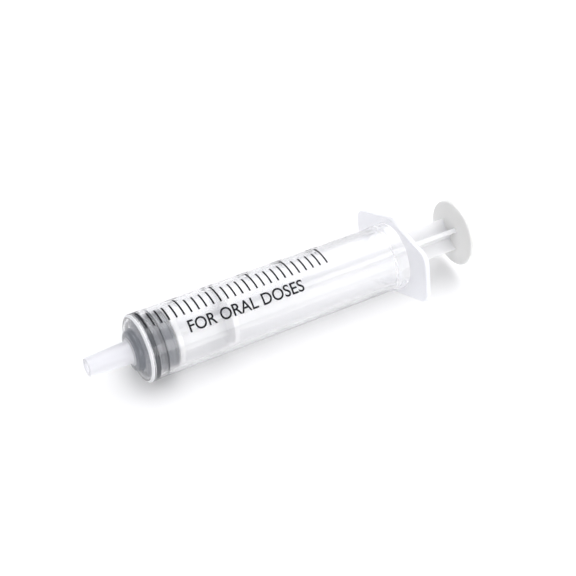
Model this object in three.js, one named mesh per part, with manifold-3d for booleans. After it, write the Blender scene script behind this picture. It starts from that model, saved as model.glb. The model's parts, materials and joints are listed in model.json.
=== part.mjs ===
// A 5 ml oral syringe in its three moulded pieces: a clear barrel with a slip tip and a finger
// flange, a rubber piston, and a cross-ribbed plunger rod with a dished thumb rest.
//
// Millimetres. Each piece is drawn along +X with x = 0 at the barrel's zero mark, the tip at
// negative x and the thumb rest at positive x. The syringe is then laid down as it rests on a
// table: on the front rim of the barrel and on one flat side of the flange, so its axis rises a
// little towards the thumb rest. The finished frame has +X along the table towards the thumb
// rest, +Z up, and its origin under the middle of the syringe, on the table.
import * as THREE from 'three';
import { mergeVertices } from 'three/addons/utils/BufferGeometryUtils.js';
import Module from 'manifold-3d';

// Barrel
const BARREL_RADIUS = 7.2;
const BORE_RADIUS = 6.2;
const RIM_X = -1.15; // where the full outer radius starts, at the front
const BORE_END_X = -0.45; // where the straight bore ends, at the front
const MOUTH_X = 60.2; // rear face of the flange
const COLLAR_X = 56.3; // the last stretch of the barrel is a hair thicker
const COLLAR_RADIUS = 7.32;
const BEAD_X = 56.9; // low ring inside the mouth that keeps the piston in
const BEAD_RADIUS = 5.95;
const BEAD_HALF_LENGTH = 0.7;

// Slip tip
const TIP_END_X = -12.5;
const TIP_ROOT_X = -3.3;
const TIP_END_RADIUS = 1.98;
const TIP_ROOT_RADIUS = 2.42;
const TIP_BORE_RADIUS = 1.05;
const HUB_RADIUS = 4.4; // low boss that the tip grows from
const HUB_FRONT_RADIUS = 3.1;
const HUB_FOOT_X = -1.98; // where the boss meets the front wall

// Finger flange, a long flat hexagon
const FLANGE_THICKNESS = 1.15;
const FLANGE_HALF_LENGTH = 13.45;
const FLANGE_HALF_WIDTH = 8.95;
const FLANGE_END_HALF_WIDTH = 5.5;
const FLANGE_CORNER_RADIUS = 3.0;
const FLANGE_HOLE_RADIUS = 6.7; // mid-wall, where the plate joins the tube

// Piston, a rubber gasket with two seal rings
const SEAL_RADIUS = 6.14;
const GROOVE_RADIUS = 5.5;
const PISTON_REAR_X = 4.9;
const NOSE_GAP = 0.15; // between the piston's cone and the barrel's front wall
const NOSE_TIP_RADIUS = 1.3;

// Plunger rod
const RIB_RADIUS = 3.72;
const RIB_THICKNESS = 1.0;
const RIB_ROLL = 36; // degrees about the axis
const CORE_RADIUS = 1.0;
const PUSH_DISC_RADIUS = 5.75;
const PUSH_DISC_X = 5.2;
const DISC_THICKNESS = 1.2;
const GUIDE_DISC_X = 17.6;
const HEAD_NECK_RADIUS = 2.4;
const HEAD_BARB_RADIUS = 3.6;
const HEAD_GAP = 0.3; // all round the head, inside the piston
const HEAD_TIP_X = 0.9;
const HEAD_BARB_X = 2.5; // widest place of the head, at the rear of the barb

// Thumb rest, a thin saucer with its hollow side to the thumb
const THUMB_RADIUS = 7.4;
const THUMB_FRONT_X = 73.7; // front of the saucer, on the axis
const THUMB_DISH = 1.2; // how far the rim stands behind the middle
const THUMB_THICKNESS = 0.95;
const THUMB_FLAT_RADIUS = 2.6; // flat middle of the hollow side

const ROUND_SIDES = 48;
const degrees = Math.PI / 180;

const wasm = await Module();
wasm.setup();

// ---- Solids ------------------------------------------------------------------------------

function toSolid(geometry) {
  const bare = geometry.clone();
  bare.deleteAttribute('normal');
  bare.deleteAttribute('uv');
  const merged = mergeVertices(bare, 1e-5);
  return new wasm.Manifold(new wasm.Mesh({
    numProp: 3,
    vertProperties: new Float32Array(merged.attributes.position.array),
    triVerts: new Uint32Array(merged.index.array),
  }));
}

function toMesh(name, solid, material) {
  const result = solid.getMesh();
  const geometry = new THREE.BufferGeometry();
  geometry.setAttribute('position', new THREE.BufferAttribute(result.vertProperties.slice(), 3));
  geometry.setIndex(new THREE.BufferAttribute(result.triVerts.slice(), 1));
  geometry.computeVertexNormals();
  const mesh = new THREE.Mesh(geometry, material);
  mesh.name = name;
  return mesh;
}

// Turns a closed outline of [x, radius] points about the X axis.
function revolve(outline) {
  const points = outline.map(([x, radius]) => new THREE.Vector2(radius, x));
  const geometry = new THREE.LatheGeometry(points, ROUND_SIDES);
  geometry.rotateZ(-Math.PI / 2);
  return toSolid(geometry);
}

// A flat plate of the given outline in the Y-Z plane, from x to x + thickness.
function plate(shape, x, thickness) {
  const geometry = new THREE.ExtrudeGeometry(shape, {
    depth: thickness,
    bevelEnabled: false,
    curveSegments: ROUND_SIDES / 8,
  });
  geometry.rotateX(Math.PI / 2);
  geometry.rotateZ(Math.PI / 2);
  geometry.translate(x, 0, 0);
  return toSolid(geometry);
}

// Points of a round fillet or bead from one angle to another, as [x, radius] pairs.
function arc(centreX, centreRadius, size, fromDegrees, toDegrees, steps) {
  const points = [];
  for (let i = 0; i <= steps; i += 1) {
    const angle = (fromDegrees + (toDegrees - fromDegrees) * i / steps) * degrees;
    points.push([centreX + size * Math.cos(angle), centreRadius + size * Math.sin(angle)]);
  }
  return points;
}

// ---- Barrel ------------------------------------------------------------------------------

// Inside of the front wall: a cone from the bore down to the tip's bore.
const CONE_FRONT_X = -2.75;

function barrelOutline() {
  const beadRise = BORE_RADIUS - BEAD_RADIUS;
  return [
    [TIP_END_X, TIP_BORE_RADIUS],
    [TIP_END_X, TIP_END_RADIUS - 0.15],
    [TIP_END_X + 0.15, TIP_END_RADIUS],
    [TIP_ROOT_X, TIP_ROOT_RADIUS],
    [TIP_ROOT_X + 0.15, TIP_ROOT_RADIUS + 0.2],
    [TIP_ROOT_X + 0.25, HUB_FRONT_RADIUS],
    [TIP_ROOT_X + 0.35, HUB_RADIUS - 0.6],
    [TIP_ROOT_X + 0.6, HUB_RADIUS - 0.2],
    [TIP_ROOT_X + 0.9, HUB_RADIUS],
    [HUB_FOOT_X - 0.15, HUB_RADIUS],
    [HUB_FOOT_X, HUB_RADIUS + 0.2],
    [RIM_X - 0.45, BARREL_RADIUS - 0.6],
    ...arc(RIM_X, BARREL_RADIUS - 0.45, 0.45, 150, 90, 3),
    [COLLAR_X, BARREL_RADIUS],
    [COLLAR_X + 0.12, COLLAR_RADIUS],
    [MOUTH_X - 0.2, COLLAR_RADIUS],
    [MOUTH_X, COLLAR_RADIUS - 0.2],
    [MOUTH_X, BORE_RADIUS + 0.45],
    [MOUTH_X - 0.8, BORE_RADIUS],
    [BEAD_X + BEAD_HALF_LENGTH, BORE_RADIUS],
    [BEAD_X + BEAD_HALF_LENGTH / 2, BORE_RADIUS - beadRise * 0.8],
    [BEAD_X, BEAD_RADIUS],
    [BEAD_X - BEAD_HALF_LENGTH / 2, BORE_RADIUS - beadRise * 0.8],
    [BEAD_X - BEAD_HALF_LENGTH, BORE_RADIUS],
    [BORE_END_X, BORE_RADIUS],
    [CONE_FRONT_X, TIP_BORE_RADIUS + 0.2],
    [CONE_FRONT_X - 0.35, TIP_BORE_RADIUS],
    [TIP_END_X, TIP_BORE_RADIUS],
  ];
}

// Angle that each long side of the flange makes with the flange's length.
const FLANGE_SLOPE = Math.atan2(FLANGE_HALF_WIDTH - FLANGE_END_HALF_WIDTH, FLANGE_HALF_LENGTH);

// The hexagon with its length across the table, turned until one long side lies level.
function flangeShape() {
  const corners = [
    [0, FLANGE_HALF_WIDTH],
    [-FLANGE_HALF_LENGTH, FLANGE_END_HALF_WIDTH],
    [-FLANGE_HALF_LENGTH, -FLANGE_END_HALF_WIDTH],
    [0, -FLANGE_HALF_WIDTH],
    [FLANGE_HALF_LENGTH, -FLANGE_END_HALF_WIDTH],
    [FLANGE_HALF_LENGTH, FLANGE_END_HALF_WIDTH],
  ].map(([y, z]) => new THREE.Vector2(y, z).rotateAround(new THREE.Vector2(), -FLANGE_SLOPE));
  const shape = new THREE.Shape();
  corners.forEach((corner, i) => {
    const before = corners[(i + 5) % 6].clone().sub(corner).normalize();
    const after = corners[(i + 1) % 6].clone().sub(corner).normalize();
    const half = Math.acos(before.dot(after)) / 2;
    const reach = FLANGE_CORNER_RADIUS / Math.tan(half);
    const start = corner.clone().addScaledVector(before, reach);
    const end = corner.clone().addScaledVector(after, reach);
    if (i === 0) shape.moveTo(start.x, start.y);
    else shape.lineTo(start.x, start.y);
    shape.quadraticCurveTo(corner.x, corner.y, end.x, end.y);
  });
  const hole = new THREE.Path();
  hole.absarc(0, 0, FLANGE_HOLE_RADIUS, 0, 2 * Math.PI, true);
  shape.holes.push(hole);
  return shape;
}

function barrel() {
  const tube = revolve(barrelOutline());
  const flange = plate(flangeShape(), MOUTH_X - FLANGE_THICKNESS, FLANGE_THICKNESS);
  return tube.add(flange);
}

// ---- Piston ------------------------------------------------------------------------------

// The piston's cone stands NOSE_GAP behind the cone inside the barrel's front wall.
const CONE_SLOPE = (BORE_RADIUS - TIP_BORE_RADIUS - 0.2) / (BORE_END_X - CONE_FRONT_X);
const noseX = (radius) => BORE_END_X - (BORE_RADIUS - radius) / CONE_SLOPE + NOSE_GAP * 1.5;

function pistonOutline() {
  const neck = HEAD_NECK_RADIUS + HEAD_GAP;
  const pocket = HEAD_BARB_RADIUS + HEAD_GAP;
  return [
    [noseX(NOSE_TIP_RADIUS), 0],
    [noseX(NOSE_TIP_RADIUS), NOSE_TIP_RADIUS],
    [noseX(SEAL_RADIUS - 0.35), SEAL_RADIUS - 0.35],
    [-0.1, SEAL_RADIUS - 0.06],
    [0.1, SEAL_RADIUS],
    [0.45, SEAL_RADIUS],
    [0.65, SEAL_RADIUS - 0.1],
    [0.95, GROOVE_RADIUS],
    [1.75, GROOVE_RADIUS],
    [2.05, SEAL_RADIUS - 0.1],
    [2.25, SEAL_RADIUS],
    [2.6, SEAL_RADIUS],
    [2.8, SEAL_RADIUS - 0.1],
    [3.05, GROOVE_RADIUS + 0.3],
    [4.3, GROOVE_RADIUS + 0.3],
    [4.45, SEAL_RADIUS - 0.15],
    [PISTON_REAR_X - 0.1, SEAL_RADIUS - 0.15],
    [PISTON_REAR_X, SEAL_RADIUS - 0.3],
    [PISTON_REAR_X, neck],
    [HEAD_BARB_X + HEAD_GAP, neck],
    [HEAD_BARB_X + HEAD_GAP, pocket],
    [HEAD_BARB_X - 0.6 - HEAD_GAP / 2, pocket],
    [HEAD_TIP_X - HEAD_GAP, HEAD_NECK_RADIUS + HEAD_GAP / 2],
    [HEAD_TIP_X - HEAD_GAP, 0],
  ];
}

// ---- Plunger rod -------------------------------------------------------------------------

function headOutline() {
  return [
    [HEAD_TIP_X, 0],
    [HEAD_TIP_X, HEAD_NECK_RADIUS],
    [HEAD_BARB_X - 0.6, HEAD_BARB_RADIUS],
    [HEAD_BARB_X, HEAD_BARB_RADIUS],
    [HEAD_BARB_X, HEAD_NECK_RADIUS],
    [PUSH_DISC_X + 0.4, HEAD_NECK_RADIUS],
    [PUSH_DISC_X + 0.4, 0],
  ];
}

function disc(x) {
  const edge = 0.2;
  return revolve([
    [x, 0],
    [x, PUSH_DISC_RADIUS - edge],
    [x + edge, PUSH_DISC_RADIUS],
    [x + DISC_THICKNESS - edge, PUSH_DISC_RADIUS],
    [x + DISC_THICKNESS, PUSH_DISC_RADIUS - edge],
    [x + DISC_THICKNESS, 0],
  ]);
}

// Front of the saucer at a distance from the axis: a shallow parabola.
const thumbFront = (radius) => THUMB_FRONT_X + THUMB_DISH * (radius / THUMB_RADIUS) ** 2;

function thumbOutline() {
  const steps = 5;
  const outline = [];
  for (let i = 0; i <= steps; i += 1) {
    const radius = (THUMB_RADIUS - 0.3) * i / steps;
    outline.push([thumbFront(radius), radius]);
  }
  const edgeFront = thumbFront(THUMB_RADIUS);
  const edgeRear = edgeFront + THUMB_THICKNESS;
  outline.push([edgeFront + 0.25, THUMB_RADIUS]);
  outline.push([edgeRear - 0.2, THUMB_RADIUS]);
  outline.push([edgeRear, THUMB_RADIUS - 0.2]);
  outline.push([edgeRear, THUMB_RADIUS - 0.9]);
  const hollowRadius = THUMB_RADIUS - 1.6; // where the hollow side leaves the rim
  const hollowRear = THUMB_FRONT_X + THUMB_THICKNESS;
  for (let i = steps - 1; i >= 1; i -= 1) {
    const share = (i - 1) / (steps - 2);
    const radius = THUMB_FLAT_RADIUS + (hollowRadius - THUMB_FLAT_RADIUS) * share;
    outline.push([hollowRear + thumbFront(radius) - thumbFront(THUMB_FLAT_RADIUS), radius]);
  }
  outline.push([hollowRear, 0]);
  return outline;
}

function rib(angle) {
  const length = THUMB_FRONT_X + 0.5 - PUSH_DISC_X;
  const geometry = new THREE.BoxGeometry(length, RIB_THICKNESS, 2 * RIB_RADIUS);
  geometry.translate(PUSH_DISC_X + length / 2 + 0.2, 0, 0);
  geometry.rotateX(angle);
  return toSolid(geometry);
}

function plungerRod() {
  const core = revolve([
    [PUSH_DISC_X + 0.3, 0],
    [PUSH_DISC_X + 0.3, CORE_RADIUS],
    [THUMB_FRONT_X + 0.4, CORE_RADIUS],
    [THUMB_FRONT_X + 0.4, 0],
  ]);
  return revolve(headOutline())
    .add(disc(PUSH_DISC_X))
    .add(disc(GUIDE_DISC_X))
    .add(core)
    .add(rib(RIB_ROLL * degrees))
    .add(rib((RIB_ROLL + 90) * degrees))
    .add(revolve(thumbOutline()));
}

// ---- Assembly ----------------------------------------------------------------------------

const clearPlastic = new THREE.MeshStandardMaterial({
  color: 0xe9ebf2, roughness: 0.2, metalness: 0, transparent: true, opacity: 0.35,
});
const greyRubber = new THREE.MeshStandardMaterial({
  color: 0x6c7078, roughness: 0.55, metalness: 0,
});
const whitePlastic = new THREE.MeshStandardMaterial({
  color: 0xe6e7e8, roughness: 0.4, metalness: 0,
});

// How far the axis stands above the table at the flange, and the tilt that this gives.
const FLANGE_STAND = FLANGE_HALF_WIDTH * Math.cos(FLANGE_SLOPE);
const FLANGE_FRONT_X = MOUTH_X - FLANGE_THICKNESS;
const REST_TILT = Math.asin((FLANGE_STAND - BARREL_RADIUS) / (FLANGE_FRONT_X - RIM_X));

const syringe = new THREE.Group();
syringe.add(
  toMesh('barrel', barrel(), clearPlastic),
  toMesh('piston', revolve(pistonOutline()), greyRubber),
  toMesh('plunger_rod', plungerRod(), whitePlastic),
);
syringe.rotation.y = -REST_TILT;
syringe.updateMatrixWorld(true);

// The frame's origin is under the middle of the box that the resting syringe fills.
const extent = new THREE.Box3().setFromObject(syringe, true);
const middle = extent.getCenter(new THREE.Vector3());
syringe.position.set(-middle.x, -middle.y, -extent.min.z);

const table = new THREE.Group();
table.add(syringe);
table.updateMatrixWorld(true);

export default table;
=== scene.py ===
"""A 5 ml oral syringe lying on a pale table: clear barrel, grey rubber piston, white plunger rod.

Every piece is drawn in the syringe's own coordinates, in millimetres: x runs along the axis from
the scale's zero mark towards the thumb rest, z is the side that faces up, and y lies across. The
slide's axis and the hinge's point in the frame say where those coordinates lie.
"""
import json
import math

import bmesh
import bpy
import numpy as np
from mathutils import Matrix, Vector


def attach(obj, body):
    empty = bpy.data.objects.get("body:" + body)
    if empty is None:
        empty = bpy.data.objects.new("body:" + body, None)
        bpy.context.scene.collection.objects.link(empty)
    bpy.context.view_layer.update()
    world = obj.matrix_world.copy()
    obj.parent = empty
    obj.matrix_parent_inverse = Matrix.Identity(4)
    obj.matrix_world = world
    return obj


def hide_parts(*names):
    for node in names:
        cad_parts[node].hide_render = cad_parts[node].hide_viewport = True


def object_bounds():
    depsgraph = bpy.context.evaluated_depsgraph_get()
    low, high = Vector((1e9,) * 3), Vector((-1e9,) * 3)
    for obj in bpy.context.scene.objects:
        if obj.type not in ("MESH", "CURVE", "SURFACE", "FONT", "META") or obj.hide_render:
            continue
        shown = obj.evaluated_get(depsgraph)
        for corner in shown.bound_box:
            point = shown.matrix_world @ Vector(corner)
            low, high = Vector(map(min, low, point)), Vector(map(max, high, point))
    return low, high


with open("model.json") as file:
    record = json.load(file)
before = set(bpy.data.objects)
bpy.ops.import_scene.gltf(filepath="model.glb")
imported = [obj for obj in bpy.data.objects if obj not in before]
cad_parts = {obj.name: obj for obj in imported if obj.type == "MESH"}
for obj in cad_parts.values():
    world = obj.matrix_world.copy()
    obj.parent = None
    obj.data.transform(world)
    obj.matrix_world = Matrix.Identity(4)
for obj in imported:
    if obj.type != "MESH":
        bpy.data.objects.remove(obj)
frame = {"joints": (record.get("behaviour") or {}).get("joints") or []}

cad_low, cad_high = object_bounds()
MM = 0.001

# Barrel. These sizes and the ones below are in millimetres, as in the CAD.
BARREL_RADIUS = 7.2
BORE_RADIUS = 6.2
BORE_END_X = -0.45
RIM_X = -1.15
RIM_REAR_X = -1.0  # the front rim is frosted white up to here, a painted highlight along its edge
COLLAR_X = 56.3
COLLAR_RADIUS = 7.32
BEAD_X = 56.9  # low ring inside the mouth
BEAD_RADIUS = 5.95
MOUTH_X = 60.2

# Slip tip, with the boss at its root
TIP_END_X = -12.5
TIP_ROOT_X = -3.3
TIP_END_RADIUS = 1.98
TIP_ROOT_RADIUS = 2.42
TIP_BORE_RADIUS = 1.05
HUB_RADIUS = 4.4
HUB_FRONT_RADIUS = 3.0
HUB_FOOT_X = -1.98
CONE_FRONT_X = -2.75  # where the front wall's inner cone reaches the tip's bore
CONE_FRONT_RADIUS = TIP_BORE_RADIUS + 0.2

# Finger flange
FLANGE_THICKNESS = 1.15
FLANGE_FRONT_X = MOUTH_X - FLANGE_THICKNESS
FLANGE_HALF_LENGTH = 13.45
FLANGE_HALF_WIDTH = 8.95
FLANGE_END_HALF_WIDTH = 5.5
FLANGE_CORNER_RADIUS = 3.0
FLANGE_EDGE = 0.22  # radius of the plate's rounded edges
PLATE_ROOT_RADIUS = COLLAR_RADIUS + 0.6  # where the plate grows from the collar

# Piston
PRESS = 0.012  # how far the rubber is pressed into the barrel's wall
SEAL_RADIUS = BORE_RADIUS + PRESS
GROOVE_RADIUS = 5.5
BAND_RADIUS = 5.8
NOSE_GAP = 0.14  # between the outer part of the nose and the front wall
PISTON_REAR_X = 4.9
PISTON_REAR_RADIUS = 6.02

# Plunger rod
HEAD_TIP_X = 0.9
HEAD_BARB_X = 2.5
HEAD_BARB_LENGTH = 0.6
HEAD_BARB_RADIUS = 3.6
HEAD_NECK_RADIUS = 2.4
HEAD_GAP = 0.3  # all round the head, inside the piston
DISC_RADIUS = 5.75
DISC_THICKNESS = 1.2
PUSH_DISC_X = 5.2
GUIDE_DISC_X = 17.6
CORE_RADIUS = 1.0
RIB_RADIUS = 3.72
RIB_THICKNESS = 1.0
RIB_ROLL = math.radians(36)

# Thumb rest
THUMB_RADIUS = 7.4
THUMB_FRONT_X = 73.7
THUMB_DISH = 1.2
THUMB_THICKNESS = 0.95
THUMB_FLAT_RADIUS = 2.6

# Printing. Angles are measured round the barrel from its top.
INK_LOW = BARREL_RADIUS - 0.006
INK_HIGH = BARREL_RADIUS + 0.014
ML = 8.281  # one millilitre of scale
SCALE_ML = 5
LINES_PER_ML = 5
LINE_WIDTH = 0.4
LINE_FOOT = math.radians(-15)
SHORT_LINE_TOP = math.radians(16.5)
LONG_LINE_TOP = math.radians(31)
NUMERAL_HEIGHT = 2.5
NUMERAL_START = LONG_LINE_TOP + math.radians(5)
CAPTION_X = 8.0
CAPTION_FOOT = math.radians(-46.3)
CAPTION_HEIGHT = 2.58
CAPTION_LENGTH = 26.3
CAPTION_WEIGHT = 0.012  # share of the type's size that each stroke is thickened by

# The syringe's own axes in the frame
joints = {joint["name"]: joint for joint in frame["joints"]}
axis = Vector(joints["piston_slide"]["axis"]).normalized()
across = Vector((0, 1, 0))
upward = axis.cross(across)
zero_mark = Vector(joints["rod_twist"]["pos_m"]) - axis * PISTON_REAR_X * MM
TO_FRAME = Matrix.Translation(zero_mark) @ Matrix((axis, across, upward)).transposed().to_4x4()
TO_FRAME = TO_FRAME @ Matrix.Scale(MM, 4)


# ---- Mesh helpers ---------------------------------------------------------------------------

def add_piece(name, mesh, body, slot, *materials, zone=None):
    """Puts a mesh drawn in the syringe's millimetres into the frame, riding on a body. zone picks
    one of the materials for a face from its centre's x and its distance from the axis."""
    mesh.materials.clear()
    for material in materials:
        mesh.materials.append(material)
    for face in mesh.polygons:
        x, y, z = face.center
        face.material_index = zone(x, math.hypot(y, z)) if zone else 0
    mesh.transform(TO_FRAME)
    mesh.shade_smooth()
    mesh.set_sharp_from_angle(angle=math.radians(35))
    piece = bpy.data.objects.new(name, mesh)
    bpy.context.scene.collection.objects.link(piece)
    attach(piece, body)
    return piece


def new_mesh(name, points, faces):
    mesh = bpy.data.meshes.new(name)
    mesh.from_pydata([tuple(p) for p in points], [], faces)
    solid = bmesh.new()
    solid.from_mesh(mesh)
    bmesh.ops.remove_doubles(solid, verts=solid.verts, dist=1e-5)
    bmesh.ops.recalc_face_normals(solid, faces=solid.faces)
    solid.to_mesh(mesh)
    solid.free()
    return mesh


def rounded(corners, steps=5):
    """A closed outline of (x, radius, fillet) corners, with an arc in place of each corner."""
    nearly_straight = math.radians(176)
    outline = []
    for i, (x, radius, fillet) in enumerate(corners):
        here = Vector((x, radius))
        before = Vector(corners[i - 1][:2]) - here
        after = Vector(corners[(i + 1) % len(corners)][:2]) - here
        shorter = min(before.length, after.length)
        if not fillet or shorter < 1e-6 or before.angle(after) > nearly_straight:
            outline.append((x, radius))
            continue
        half = before.angle(after) / 2
        reach = min(fillet / math.tan(half), 0.48 * shorter)
        size = reach * math.tan(half)
        before.normalize()
        after.normalize()
        centre = here + (before + after).normalized() * size / math.sin(half)
        start = here + before * reach - centre
        end = here + after * reach - centre
        turn = start.angle(end)
        for k in range(steps + 1):
            share = k / steps
            arm = start * math.sin((1 - share) * turn) + end * math.sin(share * turn)
            outline.append(tuple(centre + arm / math.sin(turn)))
    return outline


def turned(name, rings, sides, closed=True):
    """Turns an outline about the axis. A ring is (x, radius), and its radius may be one per side.
    A closed outline's last ring is joined to its first."""
    angles = np.arange(sides) * 2 * math.pi / sides
    points, index = [], []
    for x, radius in rings:
        if np.ndim(radius) == 0 and radius < 1e-6:
            index.append([len(points)] * sides)
            points.append((x, 0, 0))
            continue
        index.append(list(range(len(points), len(points) + sides)))
        reach = np.broadcast_to(radius, sides)
        points.extend(zip([x] * sides, reach * np.sin(angles), reach * np.cos(angles)))
    faces = []
    pairs = list(zip(index, index[1:]))
    if closed:
        pairs.append((index[-1], index[0]))
    for first, second in pairs:
        for k in range(sides):
            face = [first[k], first[(k + 1) % sides], second[(k + 1) % sides], second[k]]
            face = list(dict.fromkeys(face))
            if len(face) > 2:
                faces.append(face)
    return new_mesh(name, points, faces)


def spaced(start, end, count):
    """Values evenly between two, both left out."""
    return [start + (end - start) * (k + 1) / (count + 1) for k in range(count)]


# ---- Material helpers -----------------------------------------------------------------------

NOISE_LOW, NOISE_HIGH = 0.3, 0.7  # nearly all of a noise's values lie between these


def set_stops(ramp, stops):
    """Fills a colour ramp with (position, colour) stops."""
    while len(ramp.elements) < len(stops):
        ramp.elements.new(0.5)
    for element, (position, colour) in zip(ramp.elements, stops):
        element.position = position
        element.color = (*colour, 1)


class Nodes:
    """A short way to write a procedural material. Values are set on the shader's sockets."""

    def __init__(self, name, **values):
        self.material = bpy.data.materials.new(name)
        self.material.use_nodes = True
        self.tree = self.material.node_tree
        self.shader = self.tree.nodes["Principled BSDF"]
        self.place = self.add("ShaderNodeTexCoord").outputs["Object"]
        for key, value in values.items():
            self.shader.inputs[key.replace("_", " ")].default_value = value

    def add(self, kind, **values):
        node = self.tree.nodes.new(kind)
        for key, value in values.items():
            if hasattr(node, key):
                setattr(node, key, value)
            else:
                node.inputs[key.replace("_", " ")].default_value = value
        return node

    def link(self, output, socket):
        self.tree.links.new(output, socket)

    def noise(self, scale, detail=2, along=1):
        """Noise with a scale in 1/m. A smaller scale along the syringe draws it out that way."""
        mapping = self.add("ShaderNodeMapping")
        mapping.inputs["Scale"].default_value = (along, 1, 1)
        self.link(self.place, mapping.inputs["Vector"])
        noise = self.add("ShaderNodeTexNoise", Scale=scale, Detail=detail)
        self.link(mapping.outputs["Vector"], noise.inputs["Vector"])
        return noise.outputs["Fac"]

    def colour(self, noise, low, high):
        node = self.add("ShaderNodeValToRGB")
        set_stops(node.color_ramp, [(NOISE_LOW, low), (NOISE_HIGH, high)])
        self.link(noise, node.inputs["Fac"])
        self.link(node.outputs["Color"], self.shader.inputs["Base Color"])

    def roughness(self, noise, low, high):
        node = self.add(
            "ShaderNodeMapRange", From_Min=NOISE_LOW, From_Max=NOISE_HIGH, To_Min=low, To_Max=high
        )
        self.link(noise, node.inputs["Value"])
        self.link(node.outputs["Result"], self.shader.inputs["Roughness"])

    def bump(self, height, depth):
        """Depth is in metres."""
        bump = self.add("ShaderNodeBump", Strength=0.4, Distance=depth)
        self.link(height, bump.inputs["Height"])
        self.link(bump.outputs["Normal"], self.shader.inputs["Normal"])

    def let_lamps_through(self, share):
        """Lamps and soft light reach what is behind clear plastic, as through the real wall."""
        output = self.tree.nodes["Material Output"]
        clear = self.add("ShaderNodeBsdfTransparent")
        path = self.add("ShaderNodeLightPath")
        either = self.add("ShaderNodeMath", operation="MAXIMUM")
        self.link(path.outputs["Is Shadow Ray"], either.inputs[0])
        self.link(path.outputs["Is Diffuse Ray"], either.inputs[1])
        part = self.add("ShaderNodeMath", operation="MULTIPLY")
        part.inputs[1].default_value = share
        self.link(either.outputs[0], part.inputs[0])
        mix = self.add("ShaderNodeMixShader")
        self.link(part.outputs[0], mix.inputs["Fac"])
        self.link(self.shader.outputs["BSDF"], mix.inputs[1])
        self.link(clear.outputs["BSDF"], mix.inputs[2])
        self.link(mix.outputs["Shader"], output.inputs["Surface"])


# ---- Materials ------------------------------------------------------------------------------

def clear_plastic(name, transmission, tint, roughness, wavy=False):
    nodes = Nodes(name, IOR=1.49, Transmission_Weight=transmission)
    darker = tuple(value - 0.02 for value in tint)
    nodes.colour(nodes.noise(120, detail=3, along=0.35), darker, tint)
    nodes.roughness(nodes.noise(900, along=0.3), *roughness)
    if wavy:
        nodes.bump(nodes.noise(220, along=0.25), 0.00004)
    nodes.let_lamps_through(0.95)
    return nodes.material


def grey_rubber(name, dark, light, shine, roughness):
    nodes = Nodes(name, IOR=1.52, Specular_IOR_Level=shine)
    nodes.colour(nodes.noise(500, detail=4), dark, light)
    fine = nodes.noise(2600, detail=3)
    nodes.roughness(fine, *roughness)
    nodes.bump(fine, 0.00003)
    return nodes.material


def white_plastic(name, transmission, dark, light):
    nodes = Nodes(
        name,
        IOR=1.49,
        Subsurface_Weight=1.0,
        Subsurface_Radius=(1.0, 1.0, 1.05),
        Subsurface_Scale=0.002,
        Transmission_Weight=transmission,
    )
    nodes.colour(nodes.noise(150, detail=3, along=0.4), dark, light)
    fine = nodes.noise(1400, detail=3)
    nodes.roughness(fine, 0.28, 0.42)
    nodes.bump(fine, 0.00002)
    return nodes.material


def black_ink():
    nodes = Nodes("black_ink", Specular_IOR_Level=0.15)
    cloud = nodes.noise(2500)
    nodes.colour(cloud, (0.008, 0.008, 0.01), (0.02, 0.02, 0.024))
    nodes.roughness(cloud, 0.6, 0.8)
    return nodes.material


def table_top():
    nodes = Nodes("table_top", Roughness=0.7, Specular_IOR_Level=0.2)
    nodes.colour(nodes.noise(6, detail=3), (0.86, 0.86, 0.862), (0.88, 0.88, 0.88))
    return nodes.material


POLISH = (0.15, 0.2)  # roughness of the smooth stretches of the barrel
FROST = (0.3, 0.4)  # and of the frosted ones

plastic = clear_plastic("clear_polypropylene", 0.96, (0.985, 0.986, 0.996), POLISH, wavy=True)
tip_plastic = clear_plastic("frosted_tip", 0.5, (0.765, 0.765, 0.795), FROST)
# Painted highlight: the front rim is frosted white to stand in for the light its edge catches.
rim_highlight_plastic = clear_plastic("frosted_rim_highlight", 0.25, (0.9, 0.905, 0.93), FROST)
flange_plastic = clear_plastic("frosted_flange", 0.5, (0.945, 0.95, 0.985), FROST)
rubber = grey_rubber(
    "grey_rubber", (0.068, 0.076, 0.092), (0.078, 0.086, 0.104), shine=0.6, roughness=(0.22, 0.34)
)
# Painted shade: the rings that touch the wall are a darker copy of the rubber, with no shine.
contact_shade_rubber = grey_rubber(
    "contact_shade_rubber", (0.032, 0.036, 0.044), (0.042, 0.046, 0.056), shine=0.0, roughness=(0.5, 0.6)
)
# Painted light: the nose is a lighter copy of the rubber, standing in for light on its front cone.
nose_lit_rubber = grey_rubber(
    "nose_lit_rubber", (0.115, 0.127, 0.152), (0.125, 0.137, 0.162), shine=0.3, roughness=(0.3, 0.4)
)
rod_white = white_plastic("white_polypropylene", 0.25, (0.84, 0.84, 0.85), (0.87, 0.87, 0.88))
# Painted shade: the thumb rest is a greyer copy of the rod's white, standing in for shade on its
# front side.
shaded_thumb_white = white_plastic("shaded_white_thumb_rest", 0.0, (0.645, 0.645, 0.63), (0.675, 0.675, 0.66))
ink = black_ink()


# ---- Barrel ---------------------------------------------------------------------------------

BARREL_SIDES = 288


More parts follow.
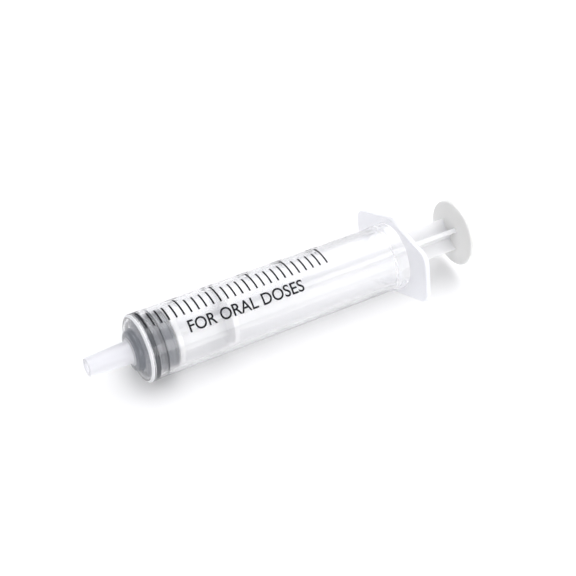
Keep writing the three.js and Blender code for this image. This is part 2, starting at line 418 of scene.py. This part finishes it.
def flange_reach():
    """Distance from the axis to the flange's outline, at each side of the turned barrel. The plate
    is a long hexagon with rounded corners, rolled so that it stands on one of its long sides."""
    corner_steps, side_steps = 24, 200
    corners = [Vector(corner) for corner in (
        (0, FLANGE_HALF_WIDTH),
        (-FLANGE_HALF_LENGTH, FLANGE_END_HALF_WIDTH),
        (-FLANGE_HALF_LENGTH, -FLANGE_END_HALF_WIDTH),
        (0, -FLANGE_HALF_WIDTH),
        (FLANGE_HALF_LENGTH, -FLANGE_END_HALF_WIDTH),
        (FLANGE_HALF_LENGTH, FLANGE_END_HALF_WIDTH),
    )]
    curves = []
    for i, corner in enumerate(corners):
        before = (corners[i - 1] - corner).normalized()
        after = (corners[(i + 1) % len(corners)] - corner).normalized()
        reach = FLANGE_CORNER_RADIUS / math.tan(before.angle(after) / 2)
        curves.append((corner + before * reach, corner, corner + after * reach))
    outline = []
    for i, (start, corner, end) in enumerate(curves):
        for k in range(corner_steps + 1):
            t = k / corner_steps
            outline.append(start * (1 - t) ** 2 + corner * 2 * t * (1 - t) + end * t ** 2)
        following = curves[(i + 1) % len(curves)][0]
        outline.extend(end.lerp(following, k / side_steps) for k in range(1, side_steps))
    slope = math.atan2(FLANGE_HALF_WIDTH - FLANGE_END_HALF_WIDTH, FLANGE_HALF_LENGTH)
    around = np.mod([math.atan2(p.x, p.y) + slope for p in outline], 2 * math.pi)
    length = np.array([p.length for p in outline])
    order = np.argsort(around)
    angles = np.arange(BARREL_SIDES) * 2 * math.pi / BARREL_SIDES
    return np.interp(angles, around[order], length[order], period=2 * math.pi)


def flange_plate():
    """Rings of the flange from its front face, round its edge, to its rear face."""
    flat_end = flange_reach() - FLANGE_EDGE
    flat = flat_end - PLATE_ROOT_RADIUS
    shares = spaced(0, 1, 3)
    turns = [math.pi / 2 * k / 5 for k in range(6)]
    rings = [(FLANGE_FRONT_X, PLATE_ROOT_RADIUS + flat * share) for share in shares]
    for turn in turns:
        x = FLANGE_FRONT_X + FLANGE_EDGE * (1 - math.cos(turn))
        rings.append((x, flat_end + FLANGE_EDGE * math.sin(turn)))
    for turn in turns:
        x = MOUTH_X - FLANGE_EDGE * (1 - math.sin(turn))
        rings.append((x, flat_end + FLANGE_EDGE * math.cos(turn)))
    rings += [(MOUTH_X, PLATE_ROOT_RADIUS + flat * share) for share in reversed(shares)]
    return rings


def barrel_mesh():
    outside = [
        (TIP_END_X, TIP_BORE_RADIUS, 0.15),
        (TIP_END_X, TIP_END_RADIUS, 0.22),
        (TIP_ROOT_X + 0.05, TIP_ROOT_RADIUS, 0.3),
        (TIP_ROOT_X + 0.25, HUB_FRONT_RADIUS, 0.15),
        (TIP_ROOT_X + 0.35, HUB_RADIUS - 0.35, 0.45),
        (HUB_FOOT_X - 0.6, HUB_RADIUS, 0.45),
        (HUB_FOOT_X - 0.05, HUB_RADIUS, 0.1),
        (HUB_FOOT_X, HUB_RADIUS + 0.2, 0.2),
        (RIM_X - 0.43, BARREL_RADIUS - 0.5, 0.4),
        (RIM_X - 0.05, BARREL_RADIUS, 0.35),
        (RIM_REAR_X, BARREL_RADIUS, 0),
        (COLLAR_X, BARREL_RADIUS, 0.1),
        (COLLAR_X + 0.12, COLLAR_RADIUS, 0.1),
        (FLANGE_FRONT_X, COLLAR_RADIUS, 0.25),
        (FLANGE_FRONT_X, PLATE_ROOT_RADIUS, 0),
    ]
    inside = [
        (MOUTH_X, BORE_RADIUS + 0.75, 0),
        (MOUTH_X, BORE_RADIUS + 0.45, 0.2),
        (MOUTH_X - 0.8, BORE_RADIUS, 0.4),
        (BEAD_X + 0.7, BORE_RADIUS, 0.3),
        (BEAD_X + 0.2, BEAD_RADIUS, 0.3),
        (BEAD_X - 0.2, BEAD_RADIUS, 0.3),
        (BEAD_X - 0.7, BORE_RADIUS, 0.3),
        (BORE_END_X, BORE_RADIUS, 0.3),
        (CONE_FRONT_X, CONE_FRONT_RADIUS, 0.3),
        (CONE_FRONT_X - 0.4, TIP_BORE_RADIUS, 0.3),
    ]
    outline = rounded(outside + inside, 6)
    plate_start = outline.index((FLANGE_FRONT_X, PLATE_ROOT_RADIUS)) + 1
    rings = outline[:plate_start] + flange_plate() + outline[plate_start:]
    return turned("barrel_shell", rings, BARREL_SIDES)


def barrel_zone(x, reach):
    """Clear plastic, but for the frosted tip and flange, and the front rim, frosted white as a
    painted highlight.
    """
    if x < TIP_ROOT_X + 0.2:
        return 1
    if x < RIM_REAR_X and reach > BARREL_RADIUS - 0.4:
        return 2
    return 3 if reach > COLLAR_RADIUS + 0.1 else 0


# ---- Piston ---------------------------------------------------------------------------------

def contact_x(radius):
    """Where the nose is pressed on the front wall's inner cone, at a distance from the axis."""
    slope = (BORE_RADIUS - CONE_FRONT_RADIUS) / (BORE_END_X - CONE_FRONT_X)
    return BORE_END_X - (BORE_RADIUS - radius) / slope - PRESS


def piston_mesh():
    nose = [
        (contact_x(1.4), 0, 0),
        (contact_x(1.4), 1.4, 0.1),
        (contact_x(4.5), 4.5, 0.1),
        (contact_x(4.7) + NOSE_GAP, 4.7, 0.1),
        (contact_x(5.85) + NOSE_GAP, 5.85, 0.15),
    ]
    side = [
        (-0.35, SEAL_RADIUS, 0.1),
        (0.66, SEAL_RADIUS, 0.15),
        (1.0, GROOVE_RADIUS, 0.25),
        (1.85, GROOVE_RADIUS, 0.25),
        (2.2, SEAL_RADIUS, 0.15),
        (2.55, SEAL_RADIUS, 0.15),
        (2.9, BAND_RADIUS, 0.2),
        (4.3, BAND_RADIUS, 0.2),
        (4.45, PISTON_REAR_RADIUS, 0.15),
        (PISTON_REAR_X, PISTON_REAR_RADIUS, 0.15),
    ]
    pocket = [
        (PISTON_REAR_X, HEAD_NECK_RADIUS + HEAD_GAP, 0.1),
        (HEAD_BARB_X + HEAD_GAP, HEAD_NECK_RADIUS + HEAD_GAP, 0.1),
        (HEAD_BARB_X + HEAD_GAP, HEAD_BARB_RADIUS + HEAD_GAP, 0.15),
        (HEAD_BARB_X - HEAD_BARB_LENGTH - HEAD_GAP / 2, HEAD_BARB_RADIUS + HEAD_GAP, 0.2),
        (HEAD_TIP_X - HEAD_GAP, HEAD_NECK_RADIUS + HEAD_GAP / 2, 0.2),
        (HEAD_TIP_X - HEAD_GAP, 0, 0),
    ]
    return turned("piston_rubber", rounded(nose + side + pocket), 192, closed=False)


def piston_zone(x, reach):
    """Plain rubber, but for the rings that press on the bore, painted darker as shade where they
    touch the wall, and the nose, painted lighter as painted light on its front cone.
    """
    if x < BORE_END_X:
        return 2
    return 1 if reach > BORE_RADIUS - 0.04 else 0


# ---- Plunger rod ----------------------------------------------------------------------------

def rod_head():
    return turned("head", rounded([
        (HEAD_TIP_X, 0, 0),
        (HEAD_TIP_X, HEAD_NECK_RADIUS, 0.2),
        (HEAD_BARB_X - HEAD_BARB_LENGTH, HEAD_BARB_RADIUS, 0.2),
        (HEAD_BARB_X, HEAD_BARB_RADIUS, 0.12),
        (HEAD_BARB_X, HEAD_NECK_RADIUS, 0.15),
        (PUSH_DISC_X + 0.4, HEAD_NECK_RADIUS, 0),
        (PUSH_DISC_X + 0.4, 0, 0),
    ]), 96, closed=False)


def rod_disc(x):
    return turned("disc", rounded([
        (x, 0, 0),
        (x, DISC_RADIUS, 0.22),
        (x + DISC_THICKNESS, DISC_RADIUS, 0.22),
        (x + DISC_THICKNESS, 0, 0),
    ]), 160, closed=False)


def rod_core():
    return turned("core", [
        (PUSH_DISC_X + 0.3, 0),
        (PUSH_DISC_X + 0.3, CORE_RADIUS),
        (THUMB_FRONT_X + 0.4, CORE_RADIUS),
        (THUMB_FRONT_X + 0.4, 0),
    ], 64, closed=False)


def rod_rib(roll):
    """One plate of the cross, with rounded outer edges."""
    start, end = PUSH_DISC_X + 0.2, THUMB_FRONT_X + 0.6
    stations = [start, *spaced(start, end, 11), end]
    section = rounded([
        (-RIB_THICKNESS / 2, -RIB_RADIUS, 0.2),
        (RIB_THICKNESS / 2, -RIB_RADIUS, 0.2),
        (RIB_THICKNESS / 2, RIB_RADIUS, 0.2),
        (-RIB_THICKNESS / 2, RIB_RADIUS, 0.2),
    ])
    turn = Matrix.Rotation(roll, 3, "X")
    points, faces = [], []
    count = len(section)
    for x in stations:
        points.extend(turn @ Vector((x, y, z)) for y, z in section)
    for i in range(len(stations) - 1):
        for k in range(count):
            a, b = i * count + k, i * count + (k + 1) % count
            faces.append([a, b, b + count, a + count])
    faces.append(list(range(count)))
    faces.append([(len(stations) - 1) * count + k for k in range(count)])
    return new_mesh("rib", points, faces)


def thumb_front(radius):
    """Front of the thumb rest at a distance from the axis: a shallow parabola."""
    return THUMB_FRONT_X + THUMB_DISH * (radius / THUMB_RADIUS) ** 2


def thumb_rest():
    rim = thumb_front(THUMB_RADIUS)
    hollow = THUMB_FRONT_X + THUMB_THICKNESS - thumb_front(THUMB_FLAT_RADIUS)
    corners = [(thumb_front(r), r, 0) for r in np.linspace(0, THUMB_RADIUS - 0.35, 24)]
    corners += [
        (rim, THUMB_RADIUS, 0.3),
        (rim + THUMB_THICKNESS, THUMB_RADIUS, 0.3),
        (rim + THUMB_THICKNESS, THUMB_RADIUS - 0.95, 0.3),
    ]
    for r in np.linspace(THUMB_RADIUS - 1.6, THUMB_FLAT_RADIUS, 16):
        corners.append((thumb_front(r) + hollow, r, 0))
    corners.append((THUMB_FRONT_X + THUMB_THICKNESS, 0, 0))
    return turned("thumb", rounded(corners), 192, closed=False)


def joined(name, meshes):
    """One closed solid from several that overlap."""
    pieces = []
    for mesh in meshes:
        piece = bpy.data.objects.new(mesh.name, mesh)
        bpy.context.scene.collection.objects.link(piece)
        pieces.append(piece)
    base = pieces[0]
    for other in pieces[1:]:
        union = base.modifiers.new("union", "BOOLEAN")
        union.operation = "UNION"
        union.solver = "MANIFOLD"
        union.object = other
    graph = bpy.context.evaluated_depsgraph_get()
    result = bpy.data.meshes.new_from_object(base.evaluated_get(graph))
    result.name = name
    for piece in pieces:
        bpy.data.objects.remove(piece)
    return result


def rod_mesh():
    return joined("rod", [
        rod_head(),
        rod_disc(PUSH_DISC_X),
        rod_disc(GUIDE_DISC_X),
        rod_core(),
        rod_rib(RIB_ROLL),
        rod_rib(RIB_ROLL + math.pi / 2),
        thumb_rest(),
    ])


def rod_zone(x, reach):
    """White plastic all over, a little greyer on the thumb rest as painted shade on its front."""
    return 1 if x > THUMB_FRONT_X - 0.05 and reach > CORE_RADIUS else 0


# ---- Printing -------------------------------------------------------------------------------

def wrapped(name, flat):
    """Bends a flat bmesh of (x, arc) points, in millimetres, round the barrel, with the ink's
    thickness. It is first cut into narrow strips, so that it can bend."""
    strip = 0.22
    low = min(v.co.y for v in flat.verts)
    high = max(v.co.y for v in flat.verts)
    for k in range(1, int((high - low) / strip) + 1):
        everything = flat.verts[:] + flat.edges[:] + flat.faces[:]
        cut = (0, low + k * strip, 0)
        bmesh.ops.bisect_plane(flat, geom=everything, dist=1e-6, plane_co=cut, plane_no=(0, 1, 0))
    bmesh.ops.recalc_face_normals(flat, faces=flat.faces)
    flat.verts.index_update()
    count = len(flat.verts)
    places = [(v.co.x, v.co.y / BARREL_RADIUS) for v in flat.verts]
    points = [
        (x, radius * math.sin(angle), radius * math.cos(angle))
        for radius in (INK_LOW, INK_HIGH)
        for x, angle in places
    ]
    faces = []
    for face in flat.faces:
        loop = [v.index for v in face.verts]
        faces.append(loop[::-1])
        faces.append([k + count for k in loop])
    for edge in flat.edges:
        if len(edge.link_faces) == 1:
            a, b = (v.index for v in edge.verts)
            faces.append([a, b, b + count, a + count])
    flat.free()
    return new_mesh(name, points, faces)


def scale_lines():
    flat = bmesh.new()
    foot = LINE_FOOT * BARREL_RADIUS
    for k in range(SCALE_ML * LINES_PER_ML + 1):
        top = (SHORT_LINE_TOP if k % LINES_PER_ML else LONG_LINE_TOP) * BARREL_RADIUS
        left = k * ML / LINES_PER_ML - LINE_WIDTH / 2
        right = left + LINE_WIDTH
        corners = [(left, foot), (right, foot), (right, top), (left, top)]
        flat.faces.new([flat.verts.new((x, arc, 0)) for x, arc in corners])
    return wrapped("scale_lines", flat)


def lettering(words, height, place, length=None, weight=0.0):
    """Plain type as a flat bmesh. place turns a letter's (right, up) into (x, arc)."""
    curve = bpy.data.curves.new("lettering", "FONT")
    curve.body = words
    curve.resolution_u = 6
    curve.offset = weight
    text = bpy.data.objects.new("lettering", curve)
    bpy.context.scene.collection.objects.link(text)
    graph = bpy.context.evaluated_depsgraph_get()
    mesh = bpy.data.meshes.new_from_object(text.evaluated_get(graph))
    bpy.data.objects.remove(text)
    flat = bmesh.new()
    flat.from_mesh(mesh)
    bpy.data.meshes.remove(mesh)
    bmesh.ops.remove_doubles(flat, verts=flat.verts, dist=1e-6)
    low = Vector([min(v.co[i] for v in flat.verts) for i in range(2)])
    high = Vector([max(v.co[i] for v in flat.verts) for i in range(2)])
    up = height / (high.y - low.y)
    along = length / (high.x - low.x) if length else up
    for v in flat.verts:
        x, arc = place((v.co.x - low.x) * along, (v.co.y - low.y) * up)
        v.co = (x, arc, 0)
    return flat


def caption():
    """A line of plain capitals below the scale, reading towards the thumb rest."""
    def place(right, up):
        return CAPTION_X + right, CAPTION_FOOT * BARREL_RADIUS + up

    words = "FOR ORAL DOSES"
    flat = lettering(words, CAPTION_HEIGHT, place, CAPTION_LENGTH, CAPTION_WEIGHT)
    return wrapped("caption", flat)


def numeral(value):
    """A figure at the end of a long line, upright when the tip points up."""
    def place(right, up):
        return value * ML + NUMERAL_HEIGHT / 2 - up, NUMERAL_START * BARREL_RADIUS + right

    return wrapped(f"numeral_{value}", lettering(str(value), NUMERAL_HEIGHT, place))


# ---- The syringe ----------------------------------------------------------------------------

barrel = add_piece(
    "barrel_shell", barrel_mesh(), "barrel", "clear_plastic",
    plastic, tip_plastic, rim_highlight_plastic, flange_plastic, zone=barrel_zone,
)
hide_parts("barrel")
piston = add_piece(
    "piston_rubber", piston_mesh(), "piston", "grey_rubber",
    rubber, contact_shade_rubber, nose_lit_rubber, zone=piston_zone,
)
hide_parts("piston")
rod = add_piece(
    "plunger_rod_moulding", rod_mesh(), "plunger_rod", "white_plastic",
    rod_white, shaded_thumb_white, zone=rod_zone,
)
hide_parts("plunger_rod")
add_piece("scale_lines", scale_lines(), "barrel", None, ink)
add_piece("scale_caption", caption(), "barrel", None, ink)
for value in range(SCALE_ML + 1):
    add_piece(f"scale_numeral_{value}", numeral(value), "barrel", None, ink)

# ---- Table and light ------------------------------------------------------------------------

FLOOR_HALF = 3.0  # metres
KEY_DISTANCE = 1.2  # metres, like its width
KEY_WIDTH = 1.3
SKY_STRENGTH = 0.73
WHITE = (1.0, 1.0, 1.0)
COOL_WHITE = (1.0, 1.0, 1.02)
DIM_WHITE = (0.8, 0.8, 0.79)  # the side of the room beyond the tip
CEILING_WHITE = (1.5, 1.5, 1.53)
PANEL_WHITE = (4.0, 4.0, 4.0)
GAP_GREY = (0.05, 0.05, 0.05)  # below the panel
PANEL_AZIMUTH, PANEL_WIDTH, PANEL_SOFTNESS = 17, 80, 5

scene = bpy.context.scene
middle = (cad_low + cad_high) / 2


def direction(azimuth, elevation):
    """Towards a point seen from the middle: azimuth 0 is -Y and 90 is +X, in degrees."""
    a, e = math.radians(azimuth), math.radians(elevation)
    return Vector((math.sin(a) * math.cos(e), -math.cos(a) * math.cos(e), math.sin(e)))


def add_table():
    corners = [(-1, -1, 0), (1, -1, 0), (1, 1, 0), (-1, 1, 0)]
    mesh = bpy.data.meshes.new("table_top")
    mesh.from_pydata(corners, [], [(0, 1, 2, 3)])
    mesh.transform(Matrix.Scale(FLOOR_HALF, 4))
    mesh.materials.append(table_top())
    floor = bpy.data.objects.new("table_top", mesh)
    scene.collection.objects.link(floor)


def add_softbox(name, azimuth, elevation, distance, width, power):
    lamp = bpy.data.lights.new(name, "AREA")
    lamp.shape = "DISK"
    lamp.size = width
    lamp.energy = power
    box = bpy.data.objects.new(name, lamp)
    scene.collection.objects.link(box)
    outward = direction(azimuth, elevation)
    box.location = middle + outward * distance
    box.rotation_mode = "QUATERNION"
    box.rotation_quaternion = outward.to_track_quat("Z", "Y")


add_table()
add_softbox("key", 130, 60, KEY_DISTANCE, KEY_WIDTH, 8.0)

scene.world = bpy.data.worlds.new("studio")
scene.world.use_nodes = True
sky = scene.world.node_tree
background = sky.nodes["Background"]
background.inputs["Strength"].default_value = SKY_STRENGTH
sky_place = sky.nodes.new("ShaderNodeTexCoord").outputs["Generated"]
sky_axes = sky.nodes.new("ShaderNodeSeparateXYZ")
sky.links.new(sky_place, sky_axes.inputs["Vector"])


def sky_ramp(letter, low, stops):
    """Colours by a direction's X or Z, from low to 1."""
    share = sky.nodes.new("ShaderNodeMapRange")
    share.inputs["From Min"].default_value = low
    sky.links.new(sky_axes.outputs[letter], share.inputs["Value"])
    node = sky.nodes.new("ShaderNodeValToRGB")
    set_stops(node.color_ramp, stops)
    sky.links.new(share.outputs["Result"], node.inputs["Fac"])
    return node.outputs["Color"]


def facing(azimuth, width, softness):
    """1 within half a width of an azimuth, 0 further round, with a soft edge, in degrees."""
    near = sky.nodes.new("ShaderNodeVectorMath")
    near.operation = "DOT_PRODUCT"
    near.inputs[1].default_value = direction(azimuth, 0)
    sky.links.new(sky_place, near.inputs[0])
    share = sky.nodes.new("ShaderNodeMapRange")
    share.inputs["From Min"].default_value = math.cos(math.radians(width / 2 + softness))
    share.inputs["From Max"].default_value = math.cos(math.radians(width / 2 - softness))
    sky.links.new(near.outputs["Value"], share.inputs["Value"])
    return share.outputs["Result"]


def blended(mode, a, b, amount=None):
    """Two colours combined, fully or by an amount from another node."""
    both = sky.nodes.new("ShaderNodeMix")
    both.data_type = "RGBA"
    both.blend_type = mode
    both.inputs["Factor"].default_value = 1.0
    if amount is not None:
        sky.links.new(amount, both.inputs["Factor"])
    sky.links.new(a, both.inputs["A"])
    sky.links.new(b, both.inputs["B"])
    return both.outputs["Result"]


# The room is brighter towards the thumb rest and the ceiling. A bright panel stands in front of
# the table, with a dark gap below it.
sideways = sky_ramp("X", -1, [(0.0, DIM_WHITE), (0.65, COOL_WHITE)])
height = sky_ramp("Z", 0, [(0.0, WHITE), (0.6, COOL_WHITE), (0.85, CEILING_WHITE)])
panel = sky_ramp("Z", 0, [
    (0.0, GAP_GREY),
    (0.085, GAP_GREY),
    (0.105, PANEL_WHITE),
    (0.6, PANEL_WHITE),
    (0.7, WHITE),
])
room = blended("MULTIPLY", sideways, height)
in_front = facing(PANEL_AZIMUTH, PANEL_WIDTH, PANEL_SOFTNESS)
sky.links.new(blended("MIX", room, panel, in_front), background.inputs["Color"])
scene.view_settings.view_transform = "Standard"

# ---- Camera ---------------------------------------------------------------------------------

CAMERA_AZIMUTH, CAMERA_ELEVATION, CAMERA_ROLL = 326.75, 43.23, 5.0
CAMERA_DISTANCE = 315.6 * MM
CAMERA_LENS = 94.57
AIM_OFFSET = Vector((1.57, 0.03, 0.95)) * MM  # from the middle of the syringe

camera_data = bpy.data.cameras.new("camera")
camera_data.lens = CAMERA_LENS
camera_data.sensor_width = 36.0
camera_data.clip_start = 0.01
camera = bpy.data.objects.new("camera", camera_data)
scene.collection.objects.link(camera)
back = direction(CAMERA_AZIMUTH, CAMERA_ELEVATION)
roll = Matrix.Rotation(math.radians(CAMERA_ROLL), 3, "Z")
camera.location = middle + AIM_OFFSET + back * CAMERA_DISTANCE
camera.rotation_mode = "QUATERNION"
camera.rotation_quaternion = ((-back).to_track_quat("-Z", "Y").to_matrix() @ roll).to_quaternion()
scene.camera = camera
